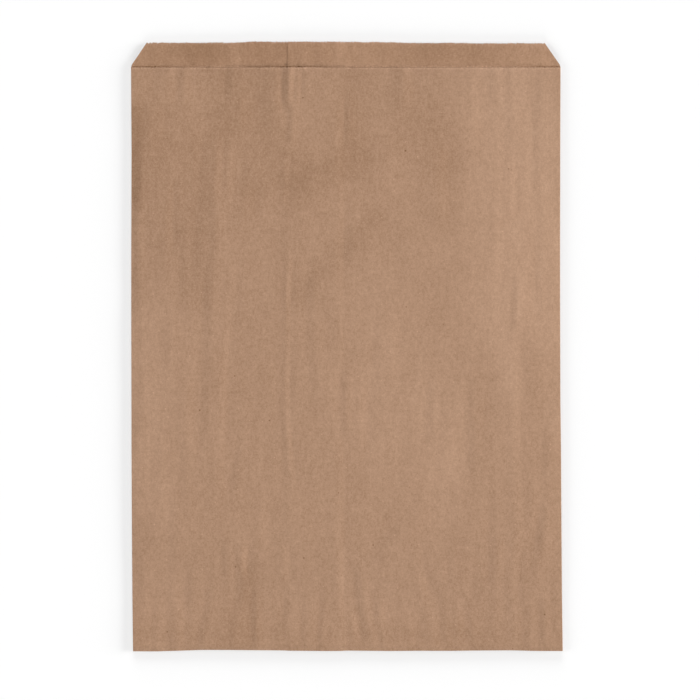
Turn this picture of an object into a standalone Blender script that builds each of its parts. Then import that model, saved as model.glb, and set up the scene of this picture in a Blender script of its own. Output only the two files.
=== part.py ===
"""Flat kraft paper bag, lying on its back seam with its mouth towards +Y.

The bag is one sheet of paper. It is rolled into a flat tube whose two edges lap down the back, and its
lower end is turned over onto the back, so each panel is the same sheet seen again after a fold. The
sheet is worked out here as a surface along the middle of the paper and then given its thickness.

One knife cuts the tube to length. The back is cut further on than the front, so the mouth has a lip on
the back, and the same step shows at the lower end, where the front's flap reaches past the back's.

Units are metres. +X runs across the bag, +Y towards the mouth, +Z up. The origin is below the middle of
the bag, on the surface that it lies on.
"""

import math

import bpy
import numpy as np

# Panels
BAG_WIDTH = 0.250
FRONT_LENGTH = 0.3402
LIP_LENGTH = 0.0145

# Paper. Faces that lie against each other, glued or not, are drawn a hairline apart.
PAPER_THICKNESS = 0.0001
HAIRLINE = 0.00006

# Back seam. The right-hand edge of the sheet lies inside the left-hand one.
SEAM_CENTRE_X = -0.0192
SEAM_LAP = 0.029
SEAM_RAMP = 0.004

# Bottom fold: how far the back's own end is turned under, and how soon the front's flap closes behind it
BACK_TURN = 0.0035
FLAP_STEP = 0.0015

# Cut corners of the lip, above a short shoulder at the side fold
CORNER_WIDTH = 0.0093
SHOULDER = 0.0013

# Saw cut along the mouth and the lower end
TOOTH_PITCH = 0.00175
TOOTH_DEPTH = 0.0006

# How the bag stands open: the space between its panels
PUFF = 0.0034
MOUTH_GAP = 0.0004
MOUTH_RUN = 0.090
BOTTOM_RUN = 0.070

# How far its margins lift off the table, over what run, and the share of it that the corners lack
LEFT_LIFT = 0.0019
RIGHT_LIFT = 0.0026
MOUTH_LIFT = 0.0023
BOTTOM_LIFT = 0.0020
CORNER_REST = 0.65
SIDE_RUN = 0.080
END_RUN = 0.090

# Fineness of the surface
PANEL_STEP = 0.0145
LENGTH_STEP = 0.019
FOLD_STEPS = 4
SAW_STRIP = 0.0024

KRAFT_COLOUR = (0.423, 0.262, 0.166, 1.0)
KRAFT_ROUGHNESS = 0.85
SMOOTH_BELOW = math.radians(40)

# Worked out from the sizes above
LAYER = PAPER_THICKNESS + HAIRLINE
FOLD_RADIUS = LAYER / 2
PANEL_HALF = BAG_WIDTH / 2 - PAPER_THICKNESS / 2 - FOLD_RADIUS
SEAM_LEFT = SEAM_CENTRE_X - SEAM_LAP / 2
SEAM_RIGHT = SEAM_CENTRE_X + SEAM_LAP / 2
FLAP_LENGTH = BACK_TURN + LIP_LENGTH
LOWEST_Y = -(FRONT_LENGTH + LIP_LENGTH) / 2
FRONT_EDGE_Y = LOWEST_Y + FRONT_LENGTH
LIP_EDGE_Y = FRONT_EDGE_Y + LIP_LENGTH
TURN_RADIUS = HAIRLINE / 2
STACK = 3 * LAYER
TURN_Y = LOWEST_Y + STACK - TURN_RADIUS
CORNER_X = BAG_WIDTH / 2 - CORNER_WIDTH
SHOULDER_X = PANEL_HALF - SHOULDER / 4


def ease(share):
    """0 below 0 and 1 above 1, with a smooth S between."""
    share = np.clip(share, 0.0, 1.0)
    return share * share * (3.0 - 2.0 * share)


def seam_rise(x):
    """How far the second layer of the lap lifts what lies on it: one layer, ramped off on both sides."""
    outside = np.maximum(SEAM_LEFT - x, x - SEAM_RIGHT)
    return LAYER * (1.0 - ease(outside / SEAM_RAMP))


def panel_gap(x, y):
    """Air between front and back: nil at the folds, full in the middle, and less towards the mouth."""
    across = 1.0 - np.minimum(np.abs(x) / PANEL_HALF, 1.0) ** 4
    open_part = MOUTH_GAP + (PUFF - MOUTH_GAP) * ease((FRONT_EDGE_Y - y) / MOUTH_RUN)
    return across * open_part * ease((y - TURN_Y) / BOTTOM_RUN)


def table_gap(x, y):
    """Height of the back's outer face: flat on the table in the middle, and lifted at the margins.

    By the bottom fold it also clears the layers that are turned under it.
    """
    side = np.maximum((np.abs(x) - PANEL_HALF) / SIDE_RUN + 1.0, 0.0) ** 2
    end = np.maximum((np.abs(y) - LIP_EDGE_Y) / END_RUN + 1.0, 0.0) ** 2
    side_lift = np.where(x < 0.0, LEFT_LIFT, RIGHT_LIFT) * side * (1.0 - CORNER_REST * end)
    end_lift = np.where(y < 0.0, BOTTOM_LIFT, MOUTH_LIFT) * end * (1.0 - CORNER_REST * side)
    under = 1.0 - ease((y - TURN_Y - BACK_TURN) / (2.0 * LIP_LENGTH))
    return side_lift + end_lift + STACK * under


def spaced(breaks, step):
    """Values that hold each break and fill the stretches between them evenly, at most a step apart."""
    values = [breaks[0]]
    for low, high in zip(breaks[:-1], breaks[1:]):
        count = max(1, math.ceil((high - low) / step - 1e-6))
        values += [low + (high - low) * (i + 1) / count for i in range(count)]
    return np.array(values)


def girth(stations):
    """The sheet's columns once round the tube, from its outer edge at the seam to its inner one.

    stations are the x values that each panel takes where it lies. Returns the columns' x, their share
    of the way up from the back to the front, whether each is on the inner half of the back, and the
    distance along the sheet.
    """
    left_back = stations[stations <= SEAM_RIGHT + 1e-9][::-1]
    right_back = stations[stations >= SEAM_LEFT - 1e-9][::-1]
    turn = np.linspace(0.0, math.pi, FOLD_STEPS + 1)[1:-1]
    bulge = PANEL_HALF + FOLD_RADIUS * np.sin(turn)
    rise = (1.0 - np.cos(turn)) / 2.0
    arc = FOLD_RADIUS * turn
    x = np.concatenate([left_back, -bulge, stations, bulge, right_back])
    share = np.concatenate([left_back * 0.0, rise, stations * 0.0 + 1.0, 1.0 - rise, right_back * 0.0])
    inner = np.arange(len(x)) >= len(x) - len(right_back)
    fold = math.pi * FOLD_RADIUS
    first = SEAM_RIGHT + PANEL_HALF
    second = first + fold + 2.0 * PANEL_HALF
    along = np.concatenate([
        SEAM_RIGHT - left_back,
        first + arc,
        first + fold + PANEL_HALF + stations,
        second + arc,
        second + fold + PANEL_HALF - right_back,
    ])
    return x, share, inner, along


def cut_reach(x, share):
    """How far past the front's cut edge the knife cuts: nil on the front, the lip's outline on the back."""
    lip = np.interp(-np.abs(x), [-PANEL_HALF, -SHOULDER_X, -CORNER_X], [0.0, SHOULDER, LIP_LENGTH])
    return (1.0 - share) * lip


def notch_depth(x, share):
    """Depth of the saw cut's notches: nil at the side folds and along the cut corners."""
    straight = np.where(share > 0.5, PANEL_HALF, CORNER_X)
    on_panel = (share == 0.0) | (share == 1.0)
    return np.where(on_panel & (np.abs(x) < straight - TOOTH_PITCH / 8.0), TOOTH_DEPTH, 0.0)


def height_in_stack(x, share, inner, y, turned):
    """Height of the middle of the paper above the back's outer face, as if the bottom were not folded."""
    back = PAPER_THICKNESS / 2 + np.where(inner, seam_rise(x), 0.0)
    front = PAPER_THICKNESS / 2 + LAYER + seam_rise(x)
    past_back = ease((y - TURN_Y - BACK_TURN) / FLAP_STEP) * ease((CORNER_X - np.abs(x)) / CORNER_WIDTH)
    flap = PAPER_THICKNESS / 2 + (front - PAPER_THICKNESS / 2) * (1.0 - past_back)
    front = np.where(turned, flap, front + panel_gap(x, y))
    return back + share * (front - back)


def fold_bottom(x, share, inner, y, angle):
    """Points of one row of the sheet, turned under by an angle about the bottom fold's axis."""
    stack = height_in_stack(x, share, inner, y, angle > math.pi / 2)
    reach = TURN_RADIUS + stack
    y = y - reach * math.sin(angle)
    z = table_gap(x, y) - TURN_RADIUS + reach * math.cos(angle)
    return np.stack([x, y, z], axis=1)


def sheet_rows(x, share, inner):
    """The sheet's rows, from just above the saw cut of the flap, round the bottom fold, to the mouth."""
    steps = [0.0, BACK_TURN, BACK_TURN + FLAP_STEP, FLAP_LENGTH - SAW_STRIP]
    flap = spaced(steps, 3.0 * SAW_STRIP)[1:]
    own_flap = (FLAP_LENGTH - cut_reach(x, share) - SAW_STRIP) / (FLAP_LENGTH - SAW_STRIP)
    rows = [fold_bottom(x, share, inner, TURN_Y + own_flap * d, math.pi) for d in flap[::-1]]
    for i in range(FOLD_STEPS + 1):
        rows.append(fold_bottom(x, share, inner, TURN_Y + 0.0 * x, math.pi * (1 - i / FOLD_STEPS)))
    below_mouth = FRONT_EDGE_Y - LIP_LENGTH
    above_flap = [TURN_Y + FLAP_LENGTH, TURN_Y + BACK_TURN + 2.0 * LIP_LENGTH]
    body = spaced([*(TURN_Y + flap), *above_flap, below_mouth], LENGTH_STEP)
    rows += [fold_bottom(x, share, inner, y + 0.0 * x, 0.0) for y in body]
    to_cut = FRONT_EDGE_Y + cut_reach(x, share) - SAW_STRIP - below_mouth
    rows += [fold_bottom(x, share, inner, below_mouth + to_cut * part, 0.0) for part in (1 / 3, 2 / 3, 1.0)]
    return np.array(rows)


def grid_faces(points):
    """Two triangles for each cell of the rows, split along the same diagonal wherever layers face."""
    rows, columns = points.shape[:2]
    i, j = np.meshgrid(np.arange(rows - 1), np.arange(columns - 1), indexing="ij")
    a = (i * columns + j).ravel()
    b, c, d = a + 1, a + columns + 1, a + columns
    flat = points.reshape(-1, 3)[:, :2]
    across, along = flat[b] - flat[a], flat[d] - flat[a]
    same_way = across[:, 0] * along[:, 1] > across[:, 1] * along[:, 0]
    first = np.where(same_way, [a, b, c], [a, b, d]).T
    second = np.where(same_way, [a, c, d], [b, c, d]).T
    return np.concatenate([first, second]).tolist()


def strip_faces(row, row_along, cut, cut_along):
    """Triangles between the last row of points and the bottoms of the saw cut, which are closer together."""
    faces = []
    i = j = 0
    while i < len(row) - 1 or j < len(cut) - 1:
        row_next = row_along[i + 1] if i < len(row) - 1 else math.inf
        cut_next = cut_along[j + 1] if j < len(cut) - 1 else math.inf
        if row_next <= cut_next:
            faces.append([row[i], row[i + 1], cut[j]])
            i += 1
        else:
            faces.append([row[i], cut[j + 1], cut[j]])
            j += 1
    return faces


def saw_cut(row, row_along, first_index, turned):
    """Points and triangles of the strip beyond a row of the sheet, with the teeth of one saw cut.

    row holds the indices of the points that the strip starts from, and first_index is the index that
    its own first point gets. turned is true at the flap's end and false at the mouth.
    """
    notches = (np.arange(math.ceil(-PANEL_HALF / TOOTH_PITCH), PANEL_HALF / TOOTH_PITCH) + 0.5) * TOOTH_PITCH
    corners = [CORNER_X, SHOULDER_X, PANEL_HALF]
    fixed = np.array([-value for value in corners] + [SEAM_LEFT, SEAM_RIGHT] + corners)
    clear = np.abs(notches[:, None] - fixed).min(axis=1) > TOOTH_PITCH / 8.0
    inside = np.abs(notches) < PANEL_HALF
    x, share, inner, along = girth(np.sort(np.concatenate([notches[clear & inside], fixed])))
    depth = notch_depth(x, share)

    def edge(edge_x, edge_share, edge_inner, cut_back):
        reach = cut_reach(edge_x, edge_share)
        if turned:
            end_y = TURN_Y + FLAP_LENGTH - reach - cut_back
            return fold_bottom(edge_x, edge_share, edge_inner, end_y, math.pi)
        return fold_bottom(edge_x, edge_share, edge_inner, FRONT_EDGE_Y + reach - cut_back, 0.0)

    cut = first_index + np.arange(len(x))
    left = np.flatnonzero((depth[:-1] > 0) & (depth[1:] > 0) & (np.abs(np.diff(x)) > TOOTH_PITCH / 2.0))
    tips = edge((x[left] + x[left + 1]) / 2.0, share[left], inner[left], 0.0)
    faces = strip_faces(row, row_along, cut, along)
    tip = first_index + len(x) + np.arange(len(left))
    faces += np.stack([cut[left], cut[left + 1], tip], axis=1).tolist()
    if turned:
        faces = [face[::-1] for face in faces]
    return np.concatenate([edge(x, share, inner, depth), tips]), faces


def folded_sheet():
    """Points and triangles of the middle of the paper, with its saw cuts."""
    margin = [CORNER_X - CORNER_WIDTH, CORNER_X, SHOULDER_X, PANEL_HALF]
    seam = [SEAM_LEFT - SEAM_RAMP, SEAM_LEFT, SEAM_RIGHT, SEAM_RIGHT + SEAM_RAMP]
    stations = spaced(sorted([-value for value in margin] + seam + margin), PANEL_STEP)
    x, share, inner, along = girth(stations)
    grid = sheet_rows(x, share, inner)
    rows, columns = grid.shape[:2]
    count = rows * columns
    mouth, mouth_faces = saw_cut(np.arange(count - columns, count), along, count, False)
    flap, flap_faces = saw_cut(np.arange(columns), along, count + len(mouth), True)
    points = np.concatenate([grid.reshape(-1, 3), mouth, flap])
    return points, grid_faces(grid) + mouth_faces + flap_faces


def kraft():
    """Brown kraft paper: matt, with no coating."""
    material = bpy.data.materials.new("kraft_paper")
    material.use_nodes = True
    shader = material.node_tree.nodes["Principled BSDF"]
    shader.inputs["Base Color"].default_value = KRAFT_COLOUR
    shader.inputs["Roughness"].default_value = KRAFT_ROUGHNESS
    shader.inputs["Metallic"].default_value = 0.0
    return material


def main():
    for old in list(bpy.data.objects):
        bpy.data.objects.remove(old, do_unlink=True)
    group = bpy.data.collections.new("kraft_paper_bag")
    bpy.context.scene.collection.children.link(group)

    points, faces = folded_sheet()
    mesh = bpy.data.meshes.new("paper_bag")
    mesh.from_pydata(points.tolist(), [], faces)
    mesh.shade_smooth()
    mesh.set_sharp_from_angle(angle=SMOOTH_BELOW)
    mesh.materials.append(kraft())
    bag = bpy.data.objects.new("paper_bag", mesh)
    group.objects.link(bag)

    paper = bag.modifiers.new("paper", "SOLIDIFY")
    paper.thickness = PAPER_THICKNESS
    paper.offset = 0.0
    paper.use_even_offset = True


main()
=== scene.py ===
"""Brown kraft paper bag, lying flat on a pale floor and seen from straight above.

The bag is one sheet of machine-glazed kraft paper. It is rolled into a tube with a lapped seam down the
back, sawn to length with a longer lip on the back, and turned over at its lower end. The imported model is
the frame: the sheet here follows the same folds, at the same sizes, and adds the paper's creases, its
sawn edges and its finish.

Lengths are metres, except where a name or a comment says millimetres. +X runs across the bag, +Y towards
its mouth and +Z up.
"""

import logging
import math
from collections.abc import Sequence
from dataclasses import dataclass, field
from enum import Enum

import bpy
import numpy as np
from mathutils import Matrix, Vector


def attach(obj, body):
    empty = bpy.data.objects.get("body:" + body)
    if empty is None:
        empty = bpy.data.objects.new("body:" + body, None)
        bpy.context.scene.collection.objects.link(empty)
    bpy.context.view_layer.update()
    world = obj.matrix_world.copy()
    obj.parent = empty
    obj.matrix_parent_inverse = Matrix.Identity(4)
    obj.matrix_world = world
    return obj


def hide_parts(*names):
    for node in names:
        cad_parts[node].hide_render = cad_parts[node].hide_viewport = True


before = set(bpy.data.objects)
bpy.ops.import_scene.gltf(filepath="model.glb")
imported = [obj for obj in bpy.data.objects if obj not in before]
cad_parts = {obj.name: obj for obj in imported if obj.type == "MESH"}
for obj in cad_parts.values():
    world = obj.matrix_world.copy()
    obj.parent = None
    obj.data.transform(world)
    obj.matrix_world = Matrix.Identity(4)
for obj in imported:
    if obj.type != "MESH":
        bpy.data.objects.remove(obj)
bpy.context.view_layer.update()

Tree = bpy.types.NodeTree
Socket = bpy.types.NodeSocket
Knots = tuple[tuple[float, float], ...]

MM = 0.001
STEP_SLACK = 1e-6  # share of a step that rounding may add to a stretch
PLACE_SLACK = 1e-9  # metres that rounding may add to a place
LOG = logging.getLogger("kraft_paper_bag")


def linear(code: str) -> tuple[float, float, float, float]:
    """Turns an sRGB hex colour into linear light.

    Each channel c, from 0 to 1, becomes c / 12.92 up to 0.04045 and ((c + 0.055) / 1.055) ** 2.4 above.

    Args:
        code: the colour as #RRGGBB.

    Returns:
        Red, green, blue and an alpha of 1.
    """
    parts = [int(code[i:i + 2], 16) / 255.0 for i in (1, 3, 5)]
    light = [c / 12.92 if c <= 0.04045 else ((c + 0.055) / 1.055) ** 2.4 for c in parts]
    return light[0], light[1], light[2], 1.0


def ease(share: np.ndarray) -> np.ndarray:
    """0 below 0 and 1 above 1, with the smooth S of 3 s squared less 2 s cubed between."""
    share = np.clip(share, 0.0, 1.0)
    return share * share * (3.0 - 2.0 * share)


def spaced(breaks: Sequence[float], steps: Sequence[float]) -> np.ndarray:
    """Fills the stretches between some values evenly.

    Args:
        breaks: rising values, all of which are kept.
        steps: the widest step allowed in each stretch.

    Returns:
        The breaks and the values between them, in order.
    """
    values = [np.array(breaks[:1], dtype=float)]
    for low, high, step in zip(breaks[:-1], breaks[1:], steps):
        count = max(1, math.ceil((high - low) / step - STEP_SLACK))
        values.append(np.linspace(low, high, count + 1)[1:])
    return np.concatenate(values)


def between(knots: Sequence[Sequence[float]], places: np.ndarray) -> np.ndarray:
    """The value at each place, on straight lines between knots of a place and a value."""
    return np.interp(places, *np.array(knots).T)


def add_node(tree: Tree, kind: str, settings: dict[str | int, object]) -> bpy.types.Node:
    """Adds a shader node with its settings and its links.

    Args:
        tree: the material's node tree.
        kind: the node's Blender type.
        settings: a property by its name, or an input by its label or number. A socket given for an input
            is linked to it, and any other value is set on it.

    Returns:
        The new node.
    """
    node = tree.nodes.new(kind)
    for key, value in settings.items():
        if isinstance(key, str) and hasattr(node, key):
            setattr(node, key, value)
        elif isinstance(value, bpy.types.NodeSocket):
            tree.links.new(value, node.inputs[key])
        else:
            node.inputs[key].default_value = value
    return node


def shown_rays(tree: Tree) -> Socket:
    """Tells the rays that show a surface from those that only carry its light.

    Args:
        tree: the node tree of a material or of the world.

    Returns:
        1 for the camera's rays and those by way of gloss or glass, and 0 for the rest.
    """
    path = add_node(tree, "ShaderNodeLightPath", {})
    shown = path.outputs["Is Camera Ray"]
    for name in ("Is Glossy Ray", "Is Transmission Ray"):
        either = {"operation": "MAXIMUM", 0: shown, 1: path.outputs[name]}
        shown = add_node(tree, "ShaderNodeMath", either).outputs[0]
    return shown


class Form(Enum):
    """How a crease crosses the paper."""

    RIDGE = "a bell across the crease, which falls away on both sides"
    TILT = "a band that rises across its middle and eases back to nothing on both sides"


@dataclass(frozen=True)
class Stroke:
    """A soft mark along a straight line on the paper, in millimetres.

    Attributes:
        start: one end of its line, across and along the bag.
        end: the other end.
        half_width: how far it reaches to each side of its line.
    """

    start: tuple[float, float]
    end: tuple[float, float]
    half_width: float

    @property
    def run(self) -> np.ndarray:
        """The way from its start to its end."""
        return np.subtract(self.end, self.start)

    def bell(self, away: np.ndarray) -> np.ndarray:
        """e to the power of minus half the square of the distance from its line over the half width."""
        return np.exp(-0.5 * (away / self.half_width) ** 2)


# A crease strays from its line in two waves: share of the stray, millimetres to a radian, and start
WANDER_WAVES = ((0.6, 4.9, 0.0), (0.4, 2.3, 1.0))
# It fades over this many half widths, or over this share of its length if that is longer
FADE_HALF_WIDTHS = 1.2
FADE_LENGTH = 0.3


@dataclass(frozen=True)
class Crease(Stroke):
    """One crease or soft swell of the paper: a ridge is its bell, and a tilt the bell times the distance.

    Along its line it fades in and out with a smooth S.

    Attributes:
        slope: its steepest slope, rise over run. A tilt rises to the right for a slope above 0, and a
            ridge stands up.
        form: ridge or tilt.
        wander: how far it strays from its line, to each side.
    """

    slope: float
    form: Form
    wander: float = 0.45

    def height(self, x: np.ndarray, y: np.ndarray) -> np.ndarray:
        """Height that the crease adds.

        Args:
            x: places across the bag, in millimetres.
            y: places along the bag, in millimetres.

        Returns:
            The height at each place, in millimetres.
        """
        length = float(np.hypot(*self.run))
        ahead = self.run / length
        right = np.array([ahead[1], -ahead[0]])
        if right.sum() < 0.0:
            right = -right
        along = (x - self.start[0]) * ahead[0] + (y - self.start[1]) * ahead[1]
        across = (x - self.start[0]) * right[0] + (y - self.start[1]) * right[1]
        waves = sum(part * np.sin(along / wave + start) for part, wave, start in WANDER_WAVES)
        across = across - self.wander * waves
        fade = max(FADE_HALF_WIDTHS * self.half_width, FADE_LENGTH * length)
        window = ease(along / fade + 0.5) * ease((length - along) / fade + 0.5)
        if self.form is Form.RIDGE:
            shape = math.sqrt(math.e) * self.bell(across)
        else:
            shape = across / self.half_width * self.bell(across)
        return self.slope * self.half_width * shape * window


@dataclass(frozen=True)
class PaintedShading(Stroke):
    """Painted light and shade on the paper: a soft paler or darker place, its tone times the bell of the way
    from its line.

    Attributes:
        tone: how much painted light makes its middle paler, as a share of the colour; below 0 it is painted
            shade that makes it darker.
    """

    tone: float

    def tone_at(self, x: np.ndarray, y: np.ndarray) -> np.ndarray:
        """Painted light and shade that the mark adds.

        Args:
            x: places across the bag, in millimetres.
            y: places along the bag, in millimetres.

        Returns:
            The tone at each place.
        """
        run = self.run
        share = ((x - self.start[0]) * run[0] + (y - self.start[1]) * run[1]) / (run @ run)
        share = np.clip(share, 0.0, 1.0)
        away = np.hypot(x - self.start[0] - share * run[0], y - self.start[1] - share * run[1])
        return self.tone * self.bell(away)


@dataclass(frozen=True)
class Cockle:
    """Faint unevenness that paper keeps from its drying: many weak waves, longer along the sheet.

    It is the sum of sine waves, each as high as its share of the slope allows.

    Attributes:
        across: usual wavelength across the bag, in millimetres.
        along: usual wavelength along it, in millimetres.
        slope: the steepest usual slope, rise over run.
        seed: the draw's seed.
        count: how many waves are added up.
        spread: the least and the most of the usual wavelengths that a wave is drawn at.
    """

    across: float
    along: float
    slope: float
    seed: int
    count: int = 14
    spread: tuple[float, float] = (0.6, 1.6)

    def height(self, x: np.ndarray, y: np.ndarray) -> np.ndarray:
        """Height of the unevenness.

        Args:
            x: places across the bag, in millimetres.
            y: places along the bag, in millimetres.

        Returns:
            The height at each place, in millimetres.
        """
        draw = np.random.default_rng(self.seed)
        total = np.zeros(np.broadcast(x, y).shape)
        for _ in range(self.count):
            over = math.tau / (self.across * draw.uniform(*self.spread))
            up = math.tau / (self.along * draw.uniform(*self.spread)) * draw.choice([-1.0, 1.0])
            total += np.sin(over * x + up * y + draw.uniform(0.0, math.tau)) / over
        return total * self.slope * math.sqrt(2.0 / self.count)


@dataclass(frozen=True)
class Relief:
    """The creases and the cockle of one panel.

    Attributes:
        creases: its creases and swells.
        cockles: its faint unevenness, at one or more scales.
    """

    creases: tuple[Crease, ...]
    cockles: tuple[Cockle, ...]

    def height(self, x: np.ndarray, y: np.ndarray) -> np.ndarray:
        """Height of the relief: the sum of its parts.

        Args:
            x: places across the bag, in metres.
            y: places along the bag, in metres.

        Returns:
            The height at each place, in metres.
        """
        across, along = x / MM, y / MM
        total = np.zeros(np.broadcast(x, y).shape)
        for part in (*self.creases, *self.cockles):
            total += part.height(across, along)
        return total * MM


# Creases of the front panel, read off the photograph, in millimetres: their two ends, half width and slope
FRONT_TILTS = (
    (-35.2, 166.6, -35.1, 139.8, 1.6, 0.35), (-46.2, 166.6, -46.7, 132.8, 5.8, 0.06),
    (-3.4, 165.4, -3.4, 136.3, 1.4, 0.06), (-67.7, 165.4, -68.8, 141.0, 2.3, 0.10),
    (-100.5, 165.4, -100.8, 141.0, 2.6, -0.08), (-92.1, 165.4, -92.1, 143.3, 2.3, -0.10),
    (-110.1, 165.4, -110.7, 143.3, 2.9, 0.05), (95.1, 165.4, 94.8, 120.1, 2.3, 0.07),
    (85.2, 165.4, 84.7, 142.2, 2.6, 0.09), (75.3, 165.4, 76.8, 118.9, 2.6, -0.05),
    (36.4, 165.4, 36.4, 142.2, 3.5, -0.07), (-30.2, 163.1, -31.6, 128.8, 1.9, 0.07),
    (-30.5, 163.1, -31.0, 143.3, 1.7, -0.26), (112.0, 161.9, 110.2, 82.3, 2.6, 0.07),
    (-27.3, 160.8, -27.6, 143.3, 1.4, -0.26), (-59.8, 159.6, -59.8, 118.9, 2.0, -0.06),
    (0.1, 144.5, 0.1, 118.9, 1.9, 0.11), (-107.8, 144.5, -107.8, 118.9, 2.6, -0.05),
    (-116.8, 144.5, -116.5, 118.9, 2.3, 0.09), (-33.4, 142.2, -32.8, 118.9, 1.7, 0.17),
    (-121.5, 132.8, -121.5, 85.2, 2.6, 0.08), (89.9, 123.0, 88.1, 3.8, 2.6, -0.05),
    (-70.0, 121.2, -71.2, 85.2, 2.3, 0.11), (-86.9, 121.2, -86.9, 84.0, 2.3, -0.07),
    (-77.0, 120.1, -77.3, 49.1, 2.6, 0.07), (-81.0, 114.2, -86.9, 38.7, 6.4, 0.06),
    (56.7, 114.2, 56.7, 70.6, 4.1, -0.06), (-34.8, 108.4, -34.8, 81.7, 1.7, -0.10),
    (97.4, 108.4, 97.4, 76.5, 2.6, -0.07), (-101.4, 95.6, -101.7, 56.1, 1.6, -0.08),
    (-29.3, 93.9, -0.8, 114.2, 3.5, -0.07), (-122.6, 91.0, -122.3, 21.2, 2.0, 0.14),
    (-56.0, 91.0, -56.6, 75.9, 3.5, -0.07), (113.1, 86.3, 112.8, 12.5, 2.9, 0.07),
    (-94.7, 85.2, -95.0, 15.4, 2.6, 0.05), (1.5, 85.2, 0.9, 49.1, 2.6, 0.06),
    (119.0, 64.8, 118.4, 6.7, 2.3, 0.07), (-31.9, 53.2, -33.4, 27.0, 1.6, -0.09),
    (-64.8, 51.5, -69.1, 0.9, 2.6, -0.05), (-79.6, 51.5, -82.8, -54.4, 3.2, 0.08),
    (-20.0, 51.5, -19.7, -22.4, 2.9, 0.05), (98.3, 41.0, 98.0, 9.6, 1.9, 0.15),
    (-33.7, 32.8, -34.2, -22.4, 1.6, -0.09), (-29.3, 29.4, 17.2, 72.4, 4.1, -0.05),
    (-115.9, 16.6, -115.6, -89.2, 2.6, -0.04), (28.3, 16.6, 28.3, -22.4, 2.9, -0.05),
    (18.4, 16.6, 17.8, -22.4, 2.6, 0.06), (99.8, 16.6, 99.5, -92.2, 2.6, -0.06),
    (-104.9, 15.4, -105.2, -31.1, 2.9, 0.06), (-70.0, 9.6, -72.9, -80.5, 2.6, -0.07),
    (-1.7, -13.7, -1.7, -52.0, 2.4, 0.14), (-34.0, -14.8, -34.0, -49.7, 1.6, -0.09),
    (73.0, -16.6, 72.4, -71.8, 2.9, 0.08), (-90.9, -18.3, -90.9, -57.3, 2.9, -0.05),
    (9.7, -18.3, 9.7, -57.3, 2.9, -0.08), (56.2, -18.3, 55.6, -71.8, 2.9, 0.04),
    (49.2, -18.3, 49.2, -55.5, 2.6, 0.08), (-34.0, -45.1, -30.5, -77.6, 1.6, -0.10),
    (116.0, -52.0, 116.0, -93.9, 2.3, 0.07), (-94.4, -54.4, -95.0, -92.2, 2.9, 0.08),
    (-61.9, -54.4, -66.5, -86.3, 2.1, 0.10), (-105.5, -54.4, -105.5, -92.2, 2.9, -0.06),
    (-4.9, -88.1, -3.1, -150.3, 2.6, -0.06), (-47.9, -88.1, -47.9, -121.2, 2.9, -0.05),
    (85.2, -88.1, 84.1, -135.8, 2.6, 0.08), (100.9, -88.1, 100.9, -119.5, 2.9, -0.07),
    (113.4, -88.1, 112.6, -119.5, 2.3, 0.07), (-101.4, -89.2, -101.4, -135.8, 2.9, 0.06),
    (90.5, -112.5, 87.6, -163.7, 2.3, -0.05), (-70.9, -115.4, -71.2, -135.8, 2.3, 0.10),
    (-59.5, -115.4, -60.1, -134.6, 2.1, -0.19), (-35.7, -115.4, -35.7, -135.8, 2.3, -0.12),
    (41.0, -115.4, 45.7, -150.3, 2.3, -0.07), (60.2, -115.4, 59.7, -136.9, 2.3, 0.07),
    (103.0, -115.4, 100.9, -149.7, 2.3, 0.10), (-120.9, -115.4, -120.0, -150.3, 2.3, 0.05),
    (14.9, -121.8, 41.6, -95.1, 4.1, 0.08), (4.4, -128.8, 5.0, -152.0, 2.3, 0.07),
    (-79.3, -129.9, -79.3, -150.9, 2.3, 0.04), (-61.9, -129.9, -61.9, -150.9, 2.3, 0.08),
    (-92.1, -129.9, -92.1, -150.9, 2.3, 0.07), (-99.1, -129.9, -99.1, -150.9, 2.3, -0.05),
    (74.8, -129.9, 75.3, -150.9, 2.9, 0.05), (16.0, -130.5, 42.8, -134.0, 2.1, -0.17),
    (6.2, -131.1, 10.5, -171.8, 2.2, 0.14), (42.8, -133.4, 50.9, -150.9, 2.1, -0.07),
    (-54.3, -140.4, -54.0, -171.8, 1.7, 0.15), (104.4, -141.6, 114.9, -95.1, 3.5, 0.09),
    (-13.9, -141.6, -17.1, -179.4, 2.0, 0.10), (8.8, -141.6, 11.7, -179.4, 1.7, -0.04),
    (54.7, -141.6, 57.3, -179.4, 2.0, 0.05), (116.0, -141.6, 117.8, -170.6, 2.0, -0.07),
    (-111.9, -145.1, -112.4, -179.4, 2.0, 0.06), (-103.7, -145.1, -103.1, -179.4, 2.0, 0.05),
    (-96.7, -145.1, -96.7, -179.4, 2.0, -0.08), (-81.0, -145.1, -86.3, -179.4, 2.1, 0.09),
    (-64.2, -145.1, -68.5, -179.4, 2.0, 0.06), (-57.8, -145.1, -53.4, -179.4, 2.0, 0.05),
    (-33.4, -145.1, -44.4, -179.4, 2.0, 0.05), (-25.5, -145.1, -25.5, -179.4, 2.0, 0.07),
    (21.9, -145.1, 15.8, -179.4, 2.0, -0.07), (30.0, -145.1, 28.3, -179.4, 2.1, 0.05),
    (41.3, -145.1, 47.7, -179.4, 1.9, 0.06), (48.6, -145.1, 53.5, -179.4, 1.9, -0.05),
    (68.4, -145.1, 73.3, -179.4, 2.1, 0.06), (9.1, -146.2, 16.0, -132.3, 2.0, -0.04),
    (16.0, -147.4, 20.4, -179.4, 1.9, 0.11), (104.4, -147.4, 103.3, -179.4, 2.3, 0.07),
    (112.3, -147.4, 113.4, -179.4, 2.1, 0.05), (94.0, -147.4, 95.1, -179.4, 2.3, 0.04),
    (2.7, -150.9, 6.5, -179.4, 1.7, -0.06), (62.0, -154.4, 62.3, -179.4, 2.0, 0.06),
    (37.6, -157.9, 37.6, -179.4, 2.1, -0.10),
)

# The same for its one ridge, a short dent at the left
FRONT_RIDGES = (
    (-101.4, 95.6, -101.7, 56.1, 1.6, -0.07),
)
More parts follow.
